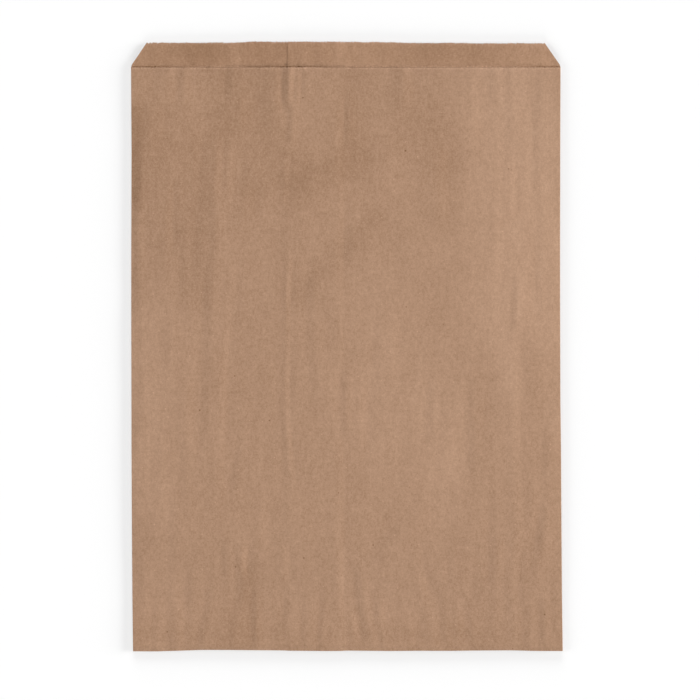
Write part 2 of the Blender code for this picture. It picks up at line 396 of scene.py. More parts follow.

# Painted light and shade on the front, in place of the shading of its broad swells and of the brighter light
# at its upper right: two ends and half width in millimetres, and tone
FRONT_PAINTED_SHADING = (
    (-49.1, 163.1, -47.9, 102.6, 12.8, -0.08), (2.1, 163.1, 2.1, 125.9, 7.0, -0.09),
    (-70.6, 163.1, -70.6, 125.9, 8.1, -0.09), (96.3, 160.8, 96.3, 27.0, 18.6, 0.14),
    (76.5, 160.8, 73.0, 91.0, 11.6, 0.03), (-108.4, 154.9, -105.5, 67.7, 16.3, -0.05),
    (31.2, 146.2, 60.2, 108.4, 12.8, -0.07), (-122.9, 138.7, -122.9, 85.2, 3.5, -0.16),
    (121.9, 137.5, 121.9, -42.7, 9.3, 0.08), (-0.8, 127.0, 14.9, 114.2, 5.2, -0.01),
    (-114.2, 127.0, -108.4, 114.2, 7.0, -0.06), (-82.2, 114.2, -85.1, 32.8, 9.3, -0.06),
    (-27.0, 114.2, -24.7, 109.6, 5.8, -0.05), (56.7, 105.5, 56.7, 74.7, 7.6, -0.07),
    (-27.0, 93.3, 9.1, 109.6, 7.6, -0.13), (45.7, 91.0, 54.4, 50.3, 10.5, 0.02),
    (-56.0, 89.8, -56.0, 77.0, 5.8, -0.07), (5.0, 41.6, 42.8, -7.8, 12.8, 0.03),
    (-27.0, 31.7, 16.0, 72.4, 6.4, -0.08), (89.3, 27.0, 102.1, -60.2, 16.3, 0.02),
    (-56.0, 27.0, -53.1, -54.4, 8.1, -0.01), (-114.2, 15.4, -114.2, -89.2, 11.6, 0.08),
    (20.7, 8.4, 23.0, -5.5, 9.3, 0.04), (94.0, -2.0, 95.1, -25.3, 5.2, 0.09),
    (113.1, -4.9, 113.1, -63.1, 4.1, -0.05), (78.8, -25.3, 80.0, -63.1, 7.0, -0.06),
    (-15.3, -34.0, -15.3, -68.9, 11.6, -0.02), (54.4, -34.0, 59.1, -63.1, 9.3, 0.03),
    (13.7, -45.6, 66.0, -45.6, 22.1, 0.06), (56.7, -71.8, 56.7, -95.1, 8.1, 0.07),
    (-0.8, -74.7, 31.2, -106.7, 11.6, -0.02), (66.0, -112.5, 71.9, -159.0, 11.6, -0.01),
    (-27.0, -121.2, -21.2, -159.0, 11.6, 0.01), (-73.5, -124.1, -73.5, -170.6, 14.0, -0.02),
    (31.2, -124.1, 32.3, -156.1, 15.1, 0.02), (112.6, -124.1, 112.6, -170.6, 9.3, -0.02),
    (-108.4, -124.1, -108.4, -170.6, 9.3, 0.02), (-56.0, -129.9, -56.0, -170.6, 4.7, -0.09),
    (-120.0, -167.2, 89.3, -168.3, 5.2, -0.06),
)

# The same painted light and shade for the lip, the inner face of the back
LIP_PAINTED_SHADING = (
    (-49.0, 176.0, -49.0, 163.0, 6.5, -0.08), (-4.0, 176.0, -4.0, 164.0, 3.0, 0.08),
    (11.0, 176.0, 11.0, 164.0, 7.0, 0.07), (48.0, 176.0, 48.0, 167.0, 7.0, -0.07),
    (75.0, 176.0, 75.0, 167.0, 4.5, -0.06), (-91.0, 174.0, -90.0, 166.0, 6.0, -0.09),
    (-79.0, 174.0, -77.0, 166.0, 6.5, -0.13), (-64.5, 174.0, -64.5, 166.0, 3.0, 0.04),
    (-36.0, 174.0, -36.0, 164.0, 2.6, -0.06), (96.0, 174.0, 96.0, 166.0, 5.0, 0.04),
    (110.0, 174.0, 112.0, 166.0, 8.0, 0.11), (-110.0, 170.0, -103.0, 170.0, 6.0, -0.04),
    (-100.0, 163.5, 118.0, 163.5, 1.9, 0.06),
)


def creases(form: Form, rows: Sequence[Sequence[float]]) -> tuple[Crease, ...]:
    """Creases of one form from rows of two ends, a half width and a slope."""
    return tuple(Crease((a, b), (c, d), half, slope, form) for a, b, c, d, half, slope in rows)


def clouds(rows: Sequence[Sequence[float]]) -> tuple[PaintedShading, ...]:
    """Marks of painted light and shade from rows of two ends, a half width and a tone."""
    return tuple(PaintedShading((a, b), (c, d), half, tone) for a, b, c, d, half, tone in rows)


@dataclass(frozen=True)
class Columns:
    """Places on the sheet once round the tube, from its outer edge at the seam to its inner one.

    Attributes:
        x: places across the bag.
        share: share of the way up from the back to the front.
        inner: whether each is on the inner half of the back.
        along: distance along the sheet.
    """

    x: np.ndarray
    share: np.ndarray
    inner: np.ndarray
    along: np.ndarray


@dataclass
class FoldedBag:
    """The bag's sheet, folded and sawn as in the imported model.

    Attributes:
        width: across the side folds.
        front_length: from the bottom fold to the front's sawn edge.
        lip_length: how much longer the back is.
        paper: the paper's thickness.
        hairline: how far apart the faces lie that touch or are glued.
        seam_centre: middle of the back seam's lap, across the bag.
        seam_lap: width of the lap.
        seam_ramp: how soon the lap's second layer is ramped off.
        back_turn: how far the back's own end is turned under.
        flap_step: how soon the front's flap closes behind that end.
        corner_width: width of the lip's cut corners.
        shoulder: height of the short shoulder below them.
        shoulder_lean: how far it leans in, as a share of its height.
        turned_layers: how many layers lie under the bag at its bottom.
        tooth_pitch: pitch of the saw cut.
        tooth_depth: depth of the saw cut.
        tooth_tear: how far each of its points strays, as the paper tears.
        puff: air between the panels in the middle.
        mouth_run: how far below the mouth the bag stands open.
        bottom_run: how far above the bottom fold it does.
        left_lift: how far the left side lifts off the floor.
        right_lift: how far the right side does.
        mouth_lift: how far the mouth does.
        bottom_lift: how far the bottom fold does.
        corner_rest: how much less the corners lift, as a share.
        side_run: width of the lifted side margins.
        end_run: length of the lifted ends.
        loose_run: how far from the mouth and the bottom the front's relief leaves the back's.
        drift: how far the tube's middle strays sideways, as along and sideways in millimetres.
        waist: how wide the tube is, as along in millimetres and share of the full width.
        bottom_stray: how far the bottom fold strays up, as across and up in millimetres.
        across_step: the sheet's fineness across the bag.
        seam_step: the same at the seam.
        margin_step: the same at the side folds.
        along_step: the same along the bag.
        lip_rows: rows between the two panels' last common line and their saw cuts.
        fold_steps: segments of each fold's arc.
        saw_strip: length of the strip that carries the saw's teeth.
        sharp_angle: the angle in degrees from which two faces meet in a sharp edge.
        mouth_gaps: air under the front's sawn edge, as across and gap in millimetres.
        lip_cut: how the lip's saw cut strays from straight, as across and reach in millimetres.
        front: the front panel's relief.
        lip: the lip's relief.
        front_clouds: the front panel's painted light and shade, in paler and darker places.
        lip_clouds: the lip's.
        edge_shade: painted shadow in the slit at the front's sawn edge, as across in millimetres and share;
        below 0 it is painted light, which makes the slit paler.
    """

    width: float = 0.250
    front_length: float = 0.3402
    lip_length: float = 0.0145
    paper: float = 0.0001
    hairline: float = 0.00006
    seam_centre: float = -0.0192
    seam_lap: float = 0.029
    seam_ramp: float = 0.004
    back_turn: float = 0.0035
    flap_step: float = 0.0015
    corner_width: float = 0.0093
    shoulder: float = 0.0013
    shoulder_lean: float = 0.25
    turned_layers: int = 3
    tooth_pitch: float = 0.00175
    tooth_depth: float = 0.0006
    tooth_tear: float = 0.00025
    puff: float = 0.0034
    mouth_run: float = 0.090
    bottom_run: float = 0.070
    left_lift: float = 0.0019
    right_lift: float = 0.0026
    mouth_lift: float = 0.0023
    bottom_lift: float = 0.0020
    corner_rest: float = 0.65
    side_run: float = 0.080
    end_run: float = 0.090
    loose_run: float = 0.030
    drift: Knots = (
        (-177.0, 0.85), (-147.0, 0.45), (-118.0, 0.23), (-89.0, 0.05), (-60.0, -0.11), (-31.0, -0.31),
        (27.0, -0.46), (56.0, -0.47), (114.0, -0.33), (177.0, -0.38),
    )
    waist: Knots = (
        (-177.0, 1.0003), (-60.0, 0.9996), (-31.0, 0.9984), (114.0, 0.9978), (158.0, 0.9997), (177.0, 1.0002),
    )
    bottom_stray: Knots = (
        (-125.0, -0.2), (-111.0, -0.2), (-99.0, 0.17), (-85.0, 0.66), (-70.0, 0.65), (-56.0, 0.53),
        (-41.0, 0.44), (-27.0, 0.31), (-12.0, 0.2), (2.0, 0.27), (25.0, 0.05), (43.0, 0.2), (60.0, 0.14),
        (78.0, 0.36), (95.0, 0.44), (110.0, 0.05), (125.0, 0.0),
    )
    across_step: float = 0.00135
    seam_step: float = 0.0011
    margin_step: float = 0.00135
    along_step: float = 0.0042
    lip_rows: int = 9
    fold_steps: int = 4
    saw_strip: float = 0.0024
    sharp_angle: float = 40.0
    mouth_gaps: Knots = (
        (-125.0, 0.35), (-92.0, 0.30), (-84.0, 0.15), (-66.0, 0.20), (-58.0, 0.40), (-10.0, 0.40),
        (2.0, 0.20), (40.0, 0.12), (108.0, 0.12), (125.0, 0.30),
    )
    # Painted shadow in the slit under the front's sawn edge; below 0, painted light
    edge_shade: Knots = (
        (-125.0, 0.24), (-108.0, 0.28), (-97.0, 0.0), (-87.0, -0.10), (-78.0, -0.30), (-68.0, -0.24),
        (-60.0, -0.10), (-52.0, 0.12), (-41.0, 0.12), (-33.0, 0.38), (-22.0, 0.26), (-13.0, 0.06),
        (-4.0, -0.10), (15.0, -0.19), (24.0, -0.32), (33.0, -0.14), (43.0, -0.27), (61.0, -0.25),
        (80.0, -0.38), (90.0, -0.18), (100.0, -0.18), (108.0, 0.02), (117.0, 0.28), (125.0, 0.28),
    )
    lip_cut: Knots = (
        (-125.0, -0.24), (-70.0, -0.24), (-61.0, -0.10), (-58.0, 0.05), (-56.5, 0.43), (-42.0, 0.26),
        (-27.0, 0.20), (2.0, 0.20), (16.0, 0.09), (25.0, 0.02), (34.0, -0.33), (60.0, -0.44),
        (77.0, -0.72), (95.0, -0.58), (125.0, -0.55),
    )
    front: Relief = field(default_factory=lambda: Relief(
        creases(Form.TILT, FRONT_TILTS) + creases(Form.RIDGE, FRONT_RIDGES),
        (Cockle(9.0, 60.0, 0.007, 3), Cockle(24.0, 90.0, 0.008, 5)),
    ))
    lip: Relief = field(default_factory=lambda: Relief((), (Cockle(8.0, 40.0, 0.03, 13),)))
    front_clouds: tuple[PaintedShading, ...] = field(default_factory=lambda: clouds(FRONT_PAINTED_SHADING))
    lip_clouds: tuple[PaintedShading, ...] = field(default_factory=lambda: clouds(LIP_PAINTED_SHADING))

    def __post_init__(self) -> None:
        """Works out the places that follow from the sizes."""
        self.layer = self.paper + self.hairline
        self.fold_radius = self.layer / 2.0
        self.panel_half = self.width / 2.0 - self.paper / 2.0 - self.fold_radius
        self.seam_left = self.seam_centre - self.seam_lap / 2.0
        self.seam_right = self.seam_centre + self.seam_lap / 2.0
        self.flap_length = self.back_turn + self.lip_length
        self.lowest = -(self.front_length + self.lip_length) / 2.0
        self.front_edge = self.lowest + self.front_length
        self.lip_edge = self.front_edge + self.lip_length
        self.turn_radius = self.hairline / 2.0
        self.stack = self.turned_layers * self.layer
        self.turn = self.lowest + self.stack - self.turn_radius
        self.clear_run = 2.0 * self.lip_length
        self.corner = self.width / 2.0 - self.corner_width
        self.shoulder_x = self.panel_half - self.shoulder_lean * self.shoulder
        self.tooth_room = self.tooth_pitch / 8.0

    def seam_rise(self, x: np.ndarray) -> np.ndarray:
        """How far the lap's second layer lifts what lies on it: one layer, ramped off on both sides."""
        outside = np.maximum(self.seam_left - x, x - self.seam_right)
        return self.layer * (1.0 - ease(outside / self.seam_ramp))

    def inward(self, x: np.ndarray) -> np.ndarray:
        """1 less the fourth power of the way across: nil at the side folds and nearly 1 between them."""
        return 1.0 - np.minimum(np.abs(x) / self.panel_half, 1.0) ** 4

    def panel_gap(self, x: np.ndarray, y: np.ndarray) -> np.ndarray:
        """Air between front and back: the mouth's gap, eased up to the full puff, and nil at the folds.

        Args:
            x: places across the bag.
            y: places along the bag.

        Returns:
            The gap at each place.
        """
        mouth = between(np.array(self.mouth_gaps) * MM, x)
        opened = mouth + (self.puff - mouth) * ease((self.front_edge - y) / self.mouth_run)
        return self.inward(x) * opened * ease((y - self.turn) / self.bottom_run)

    def table_gap(self, x: np.ndarray, y: np.ndarray) -> np.ndarray:
        """Height of the back's outer face above the floor.

        It is flat on the floor in the middle. The margins lift by the square of the way into them, less
        at the corners, and by the bottom fold it clears the layers that are turned under.

        Args:
            x: places across the bag.
            y: places along the bag.

        Returns:
            The height at each place.
        """
        side = np.maximum((np.abs(x) - self.panel_half) / self.side_run + 1.0, 0.0)
        end = np.maximum((np.abs(y) - self.lip_edge) / self.end_run + 1.0, 0.0)
        side, end = side * side, end * end
        end_lift = np.where(y > 0.0, self.mouth_lift, self.bottom_lift)
        side_lift = np.where(x < 0.0, self.left_lift, self.right_lift)
        lift = side_lift * side * (1.0 - self.corner_rest * end)
        lift += end_lift * end * (1.0 - self.corner_rest * side)
        under = 1.0 - ease((y - self.turn - self.back_turn) / self.clear_run)
        return lift + self.stack * under

    def relief_height(self, x: np.ndarray, y: np.ndarray, front: np.ndarray) -> np.ndarray:
        """Height that the creases add to a layer.

        The front takes its whole relief. The layers below take the part of it that the margins and the
        ends share, and the lip adds its own, which fades in over half its length about the front's edge.

        Args:
            x: places across the bag.
            y: places along the bag.
            front: 1 on the front panel, 0 on the back and under the bag.

        Returns:
            The height at each place.
        """
        below_mouth = ease((self.front_edge - y) / self.loose_run)
        above_fold = ease((y - self.turn) / self.loose_run)
        shared = 1.0 - self.inward(x) * below_mouth * above_fold * (1.0 - front)
        past_front = ease((y - self.front_edge) / (0.5 * self.lip_length) + 0.5)
        front_height = self.front.height(x, np.minimum(y, self.front_edge))
        fade = 1.0 - (1.0 - front) * past_front
        return front_height * shared * fade + self.lip.height(x, y) * (1.0 - front) * past_front

    def girth(self, stations: np.ndarray) -> Columns:
        """The sheet's columns once round the tube.

        Each fold is half a turn of a small arc: sine outwards and 1 less cosine upwards.

        Args:
            stations: the places across the bag that each panel takes where it lies.

        Returns:
            The columns.
        """
        left_back = stations[stations <= self.seam_right + PLACE_SLACK][::-1]
        right_back = stations[stations >= self.seam_left - PLACE_SLACK][::-1]
        turn = np.linspace(0.0, math.pi, self.fold_steps + 1)[1:-1]
        bulge = self.panel_half + self.fold_radius * np.sin(turn)
        rise = (1.0 - np.cos(turn)) / 2.0
        arc = self.fold_radius * turn
        fold = math.pi * self.fold_radius
        first = self.seam_right + self.panel_half
        second = first + fold + 2.0 * self.panel_half
        x = np.concatenate([left_back, -bulge, stations, bulge, right_back])
        low, high = np.zeros(len(left_back)), np.ones(len(stations))
        return Columns(
            x=x,
            share=np.concatenate([low, rise, high, 1.0 - rise, np.zeros(len(right_back))]),
            inner=np.arange(len(x)) >= len(x) - len(right_back),
            along=np.concatenate([
                self.seam_right - left_back,
                first + arc,
                first + fold + self.panel_half + stations,
                second + arc,
                second + fold + self.panel_half - right_back,
            ]),
        )

    def cut_reach(self, columns: Columns) -> np.ndarray:
        """How far past the front's edge the saw cuts.

        It is nil on the front and the lip's outline on the back, which strays a little from straight.

        Args:
            columns: the places on the sheet.

        Returns:
            The reach at each place.
        """
        shoulder, lip_end = (-self.shoulder_x, self.shoulder), (-self.corner, self.lip_length)
        lip = between([(-self.panel_half, 0.0), shoulder, lip_end], -np.abs(columns.x))
        stray = between(np.array(self.lip_cut) * MM, columns.x)
        return (1.0 - columns.share) * (lip + stray * lip / self.lip_length)

    def notch_depth(self, columns: Columns) -> np.ndarray:
        """Depth of the saw cut's notches: nil at the side folds and along the cut corners.

        Args:
            columns: the places on the sheet.

        Returns:
            The depth at each place.
        """
        straight = np.where(columns.share > 0.5, self.panel_half, self.corner)
        on_panel = (columns.share == 0.0) | (columns.share == 1.0)
        clear = np.abs(columns.x) < straight - self.tooth_room
        return np.where(on_panel & clear, self.tooth_depth, 0.0)

    def height_in_stack(self, columns: Columns, y: np.ndarray, turned: bool) -> np.ndarray:
        """Height of the middle of the paper above the back's outer face, before the bottom is folded.

        Args:
            columns: the places on the sheet.
            y: places along the bag.
            turned: whether the row is turned under the bag.

        Returns:
            The height at each place.
        """
        middle = self.paper / 2.0
        lap = self.seam_rise(columns.x)
        back = middle + np.where(columns.inner, lap, 0.0)
        front = middle + self.layer + lap
        if turned:
            past_back = ease((y - self.turn - self.back_turn) / self.flap_step)
            past_back = past_back * ease((self.corner - np.abs(columns.x)) / self.corner_width)
            front = middle + (front - middle) * (1.0 - past_back)
        else:
            front = front + self.panel_gap(columns.x, y)
        return back + columns.share * (front - back)

    def fold_bottom(self, columns: Columns, y: np.ndarray, angle: float) -> np.ndarray:
        """One row of the sheet, turned under by an angle about the bottom fold's axis.

        The row's reach is the fold's radius and its height in the stack. It moves back by the reach times
        the sine and stands up by the reach times the cosine.

        Args:
            columns: the places on the sheet.
            y: places along the bag, before the turn.
            angle: the turn, 0 above the bag and half a turn below it.

        Returns:
            The row's points.
        """
        x = columns.x
        turned = angle > math.pi / 2.0
        reach = self.turn_radius + self.height_in_stack(columns, y, turned)
        y = y - reach * math.sin(angle)
        z = self.table_gap(x, y) - self.turn_radius + reach * math.cos(angle)
        front = columns.share * (0.0 if turned else 1.0)
        return self.strayed(x, y, z + self.relief_height(x, y, front))

    def strayed(self, x: np.ndarray, y: np.ndarray, z: np.ndarray) -> np.ndarray:
        """Moves points by what a real bag strays from true.

        The width takes its share at that length and the middle drifts sideways. The bottom fold strays
        up, by an amount that eases off over the first stretch above it.

        Args:
            x: places across the bag.
            y: places along the bag.
            z: heights.

        Returns:
            The points.
        """
        across = x * between(self.waist, y / MM) + between(self.drift, y / MM) * MM
        near_fold = 1.0 - ease((y - self.lowest) / self.loose_run)
        return np.stack([across, y + between(self.bottom_stray, x / MM) * MM * near_fold, z], axis=1)

    def sheet_rows(self, columns: Columns) -> tuple[np.ndarray, np.ndarray]:
        """The sheet's rows, from just above the flap's saw cut, round the bottom fold, to the mouth.

        Args:
            columns: the sheet's columns.

        Returns:
            The points, rows by columns, and each one's distance up the sheet from the bottom fold.
        """
        level = np.zeros(len(columns.x))
        own_reach = self.cut_reach(columns)
        flap_end = self.flap_length - self.saw_strip
        steps = [0.0, self.back_turn, self.back_turn + self.flap_step, flap_end]
        flap = spaced(steps, [2.0 * self.saw_strip] * 3)[1:]
        own_flap = (self.flap_length - own_reach - self.saw_strip) / flap_end
        rows = [self.fold_bottom(columns, self.turn + own_flap * d, math.pi) for d in flap[::-1]]
        lengths = [-own_flap * d for d in flap[::-1]]
        for i in range(self.fold_steps + 1):
            angle = math.pi * (1.0 - i / self.fold_steps)
            rows.append(self.fold_bottom(columns, self.turn + level, angle))
            lengths.append(level)
        below_mouth = self.front_edge - self.lip_length
        breaks = [*(self.turn + flap), self.turn + self.flap_length,
                  self.turn + self.back_turn + self.clear_run, below_mouth]
        to_cut = self.front_edge + own_reach - self.saw_strip - below_mouth
        places = [y + level for y in spaced(breaks, [self.along_step] * (len(breaks) - 1))]
        places += [below_mouth + to_cut * i / self.lip_rows for i in range(1, self.lip_rows + 1)]
        for y in places:
            rows.append(self.fold_bottom(columns, y, 0.0))
            lengths.append(y - self.turn)
        return np.array(rows), np.array(lengths)

    def stations(self) -> np.ndarray:
        """The places across the bag that both panels take, closer at the seam and the side folds.

        Returns:
            The places, from left to right.
        """
        margin = [self.corner - self.corner_width, self.corner, self.shoulder_x, self.panel_half]
        ramp = self.seam_ramp
        seam = [self.seam_left - ramp, self.seam_left, self.seam_right, self.seam_right + ramp]
        breaks = sorted([-value for value in margin] + seam + margin)
        outer = [self.margin_step] * (len(margin) - 1)
        middle = [self.seam_step] * (len(seam) - 1)
        return spaced(breaks, [*outer, self.across_step, *middle, self.across_step, *outer])

    @staticmethod
    def grid_faces(points: np.ndarray) -> np.ndarray:
        """Two triangles for each cell of a grid, split along the same diagonal wherever layers face.

        Args:
            points: the grid's points, rows by columns.

        Returns:
            The triangles as rows of three indices.
        """
        rows, columns = points.shape[:2]
        i, j = np.meshgrid(np.arange(rows - 1), np.arange(columns - 1), indexing="ij")
        a = (i * columns + j).ravel()
        b, c, d = a + 1, a + columns + 1, a + columns
        flat = points.reshape(-1, 3)[:, :2]
        across, along = flat[b] - flat[a], flat[d] - flat[a]
        same_way = across[:, 0] * along[:, 1] > across[:, 1] * along[:, 0]
        first = np.where(same_way, [a, b, c], [a, b, d]).T
        second = np.where(same_way, [a, c, d], [b, c, d]).T
        return np.concatenate([first, second])

    @staticmethod
    def strip_faces(row: np.ndarray, row_along: np.ndarray, cut: np.ndarray,
                    cut_along: np.ndarray) -> np.ndarray:
        """Triangles between the last row of points and the bottoms of the saw cut.

        Both are ordered along the sheet. Every step of one is joined to the point of the other that has
        been reached, with the row's step first on a tie.

        Args:
            row: the row's indices.
            row_along: their distances along the sheet.
            cut: the indices of the notches' bottoms.
            cut_along: their distances along the sheet.

        Returns:
            The triangles as rows of three indices.
        """
        reached = np.maximum(np.searchsorted(cut_along, row_along[1:], side="left") - 1, 0)
        from_row = np.stack([row[:-1], row[1:], cut[reached]], axis=1)
        passed = np.minimum(np.searchsorted(row_along, cut_along[1:], side="right") - 1, len(row) - 1)
        from_cut = np.stack([row[passed], cut[1:], cut[:-1]], axis=1)
        return np.concatenate([from_row, from_cut])

    def saw_cut(self, row: np.ndarray, row_along: np.ndarray, first_index: int,
                turned: bool) -> tuple[np.ndarray, np.ndarray, np.ndarray, np.ndarray]:
        """The strip beyond a row of the sheet, with the teeth of one saw cut.

        Each tooth is one triangle that stands on the line of the notches' bottoms.

        Args:
            row: the indices of the points that the strip starts from.
            row_along: their distances along the sheet.
            first_index: the index that the strip's own first point gets.
            turned: true at the flap's end and false at the mouth.

        Returns:
            The points, their places on the blank, their distances from the saw cut, and the triangles.
        """
        half_count = self.panel_half / self.tooth_pitch
        notches = (np.arange(math.ceil(-half_count), half_count) + 0.5) * self.tooth_pitch
        corners = [self.corner, self.shoulder_x, self.panel_half]
        fixed = np.array([-value for value in corners] + [self.seam_left, self.seam_right] + corners)
        clear = np.abs(notches[:, None] - fixed).min(axis=1) > self.tooth_room
        inside = np.abs(notches) < self.panel_half
        cut = self.girth(np.sort(np.concatenate([notches[clear & inside], fixed])))
        depth = self.notch_depth(cut)
        wide = np.abs(np.diff(cut.x)) > self.tooth_pitch / 2.0
        left = np.flatnonzero((depth[:-1] > 0) & (depth[1:] > 0) & wide)
        teeth = Columns(
            x=np.concatenate([cut.x, (cut.x[left] + cut.x[left + 1]) / 2.0]),
            share=np.concatenate([cut.share, cut.share[left]]),
            inner=np.concatenate([cut.inner, cut.inner[left]]),
            along=np.concatenate([cut.along, (cut.along[left] + cut.along[left + 1]) / 2.0]),
        )
        cut_back = np.concatenate([depth, np.zeros(len(left))])
        torn = np.random.default_rng(len(row) + turned).uniform(-1.0, 1.0, len(cut_back)) * self.tooth_tear
        on_tooth = np.concatenate([depth > 0.0, np.full(len(left), True)])
        cut_back = cut_back + np.where(on_tooth, torn, 0.0)
        reach = self.cut_reach(teeth)
        if turned:
            y = self.turn + self.flap_length - reach - cut_back
            points, length = self.fold_bottom(teeth, y, math.pi), self.turn - y
        else:
            y = self.front_edge + reach - cut_back
            points, length = self.fold_bottom(teeth, y, 0.0), y - self.turn
        foot = first_index + np.arange(len(cut.x))
        tips = first_index + len(cut.x) + np.arange(len(left))
        faces = np.concatenate([
            self.strip_faces(row, row_along, foot, cut.along),
            np.stack([foot[left], foot[left + 1], tips], axis=1),
        ])
        if turned:
            faces = faces[:, ::-1]
        return points, np.stack([teeth.along, length], axis=1), cut_back, faces

    def mesh(self) -> bpy.types.Mesh:
        """The middle of the paper as a mesh, with what its finish needs to know at each point.

        Returns:
            The mesh. Its UV map "blank" is in metres. Its attributes "from_cut" and "past_edge", the ways
            from the saw cut and past the front's edge, are in millimetres, and "cloud", the painted light and
            shade of the front and the lip, and "edge_shade", the painted shadow and light in the slit at the
            front's edge, are shares of the colour.
        """
        columns = self.girth(self.stations())
        grid, lengths = self.sheet_rows(columns)
        across, count = len(columns.x), lengths.size
        mouth = self.saw_cut(np.arange(count - across, count), columns.along, count, False)
        flap = self.saw_cut(np.arange(across), columns.along, count + len(mouth[0]), True)
        strip_points, strip_blanks, strip_cuts, strip_triangles = zip(mouth, flap)
        points = np.concatenate([grid.reshape(-1, 3), *strip_points])
        blank = np.stack([np.broadcast_to(columns.along, lengths.shape), lengths], axis=2).reshape(-1, 2)
        blank = np.concatenate([blank, *strip_blanks])
        from_cut = np.concatenate([np.full(count, self.saw_strip), *strip_cuts])
        past_edge = blank[:, 1] + self.turn - self.front_edge
        faces = np.concatenate([self.grid_faces(grid), *strip_triangles])
        sheet = bpy.data.meshes.new("folded_sheet")
        sheet.from_pydata(points.tolist(), [], faces.tolist())
        layer = sheet.uv_layers.new(name="blank")
        layer.uv.foreach_set("vector", blank[faces.ravel()].ravel().astype(np.float32))
        # Painted shadow and light for the slit, nil on the front itself
        shade = between(self.edge_shade, points[:, 0] / MM)
        values = {
            "from_cut": from_cut / MM,
            "past_edge": past_edge / MM,
            "cloud": self.cloud_tone(points, blank, past_edge),
            "edge_shade": np.where(self.on_front(blank), 0.0, shade),
        }
        for name, value in values.items():
            sheet.attributes.new(name, "FLOAT", "POINT").data.foreach_set("value", value.astype(np.float32))
        return sheet

    def cloud_tone(self, points: np.ndarray, blank: np.ndarray, past_edge: np.ndarray) -> np.ndarray:
        """Painted light and shade on the front panel and on the lip, and nil elsewhere.

        Args:
            points: the sheet's points.
            blank: their places on the blank.
            past_edge: how far up the sheet each is past the front's sawn edge.

        Returns:
            The tone at each point.
        """
        x, y = points[:, 0] / MM, points[:, 1] / MM
        front = sum(cloud.tone_at(x, y) for cloud in self.front_clouds)
        lip = sum(cloud.tone_at(x, y) for cloud in self.lip_clouds)
        on_front = self.on_front(blank) & (blank[:, 1] >= 0.0)
        return np.where(on_front, front, np.where(past_edge > 0.0, lip, 0.0))

    def on_front(self, blank: np.ndarray) -> np.ndarray:
        """Tells the front panel and its flap, with the folds beside them, from the rest of the sheet.

        The front ends short of the second fold's end, which is pi layers past the panel's own width.

        Args:
            blank: places on the blank.

        Returns:
            Whether each is on the front.
        """
        first = self.seam_right + self.panel_half
        return (blank[:, 0] > first) & (blank[:, 0] < first + 2.0 * self.panel_half + 3.0 * self.layer)

    def build(self) -> bpy.types.Object:
        """The bag as an object: the sheet with the paper's thickness and its three faces' finishes.

        Returns:
            The finished object, at the origin.
        """
        sheet = self.mesh()
        bag = bpy.data.objects.new("kraft_bag_sheet", sheet)
        bpy.context.scene.collection.objects.link(bag)
        for finish in (GLAZED_FACE, MATT_FACE, SAWN_EDGE):
            sheet.materials.append(finish.material())
        thickness = bag.modifiers.new("paper", "SOLIDIFY")
        thickness.thickness = self.paper
        thickness.offset = 0.0
        thickness.use_even_offset = True
        thickness.material_offset = 1  # the inner face takes the second finish
        thickness.material_offset_rim = 2  # and the saw cuts the third
        depsgraph = bpy.context.evaluated_depsgraph_get()
        solid = bpy.data.meshes.new_from_object(bag.evaluated_get(depsgraph))
        bag.modifiers.clear()
        bag.data = solid
        bpy.data.meshes.remove(sheet)
        solid.name = "kraft_bag_sheet"
        solid.shade_smooth()
        solid.set_sharp_from_angle(angle=math.radians(self.sharp_angle))
        return bag


@dataclass(frozen=True)
class Grain:
    """One scale of a paper's own unevenness of colour.

    Attributes:
        across: size of its patches across the bag, in millimetres.
        along: size of its patches along the bag, in millimetres.
        depth: how far it lightens and darkens the paper, as a share of its colour.
    """

    across: float
    along: float
    depth: float


@dataclass(frozen=True)
class Fleck:
    """Small marks scattered in the paper: bark and shives, or bleached fibres.

    Attributes:
        spacing: size of the cells that may hold one each, in millimetres.
        radius: radius of the largest one, in millimetres.
        share: share of the cells that hold one.
        depth: how far one darkens the paper, as a share of its colour; below 0 it is paler.
    """

    spacing: float
    radius: float
    share: float
    depth: float


# Scales of the paper's colour: single fibres, drawn about twice as coarse as they are so that they show,
# then their flocks, the streaks of the machine direction, and broad clouds
PAPER_GRAINS = (
    Grain(0.7, 0.8, 0.165),
    Grain(1.5, 1.8, 0.144),
    Grain(3.2, 4.5, 0.086),
    Grain(7.0, 10.0, 0.050),
    Grain(18.0, 30.0, 0.040),
)
# Specks of bark, fainter shives, and tufts of pale fibre
PAPER_FLECKS = (
    Fleck(20.0, 0.80, 0.20, 0.60),
    Fleck(9.0, 0.55, 0.30, 0.20),
    Fleck(7.0, 0.60, 0.50, -0.36),
)


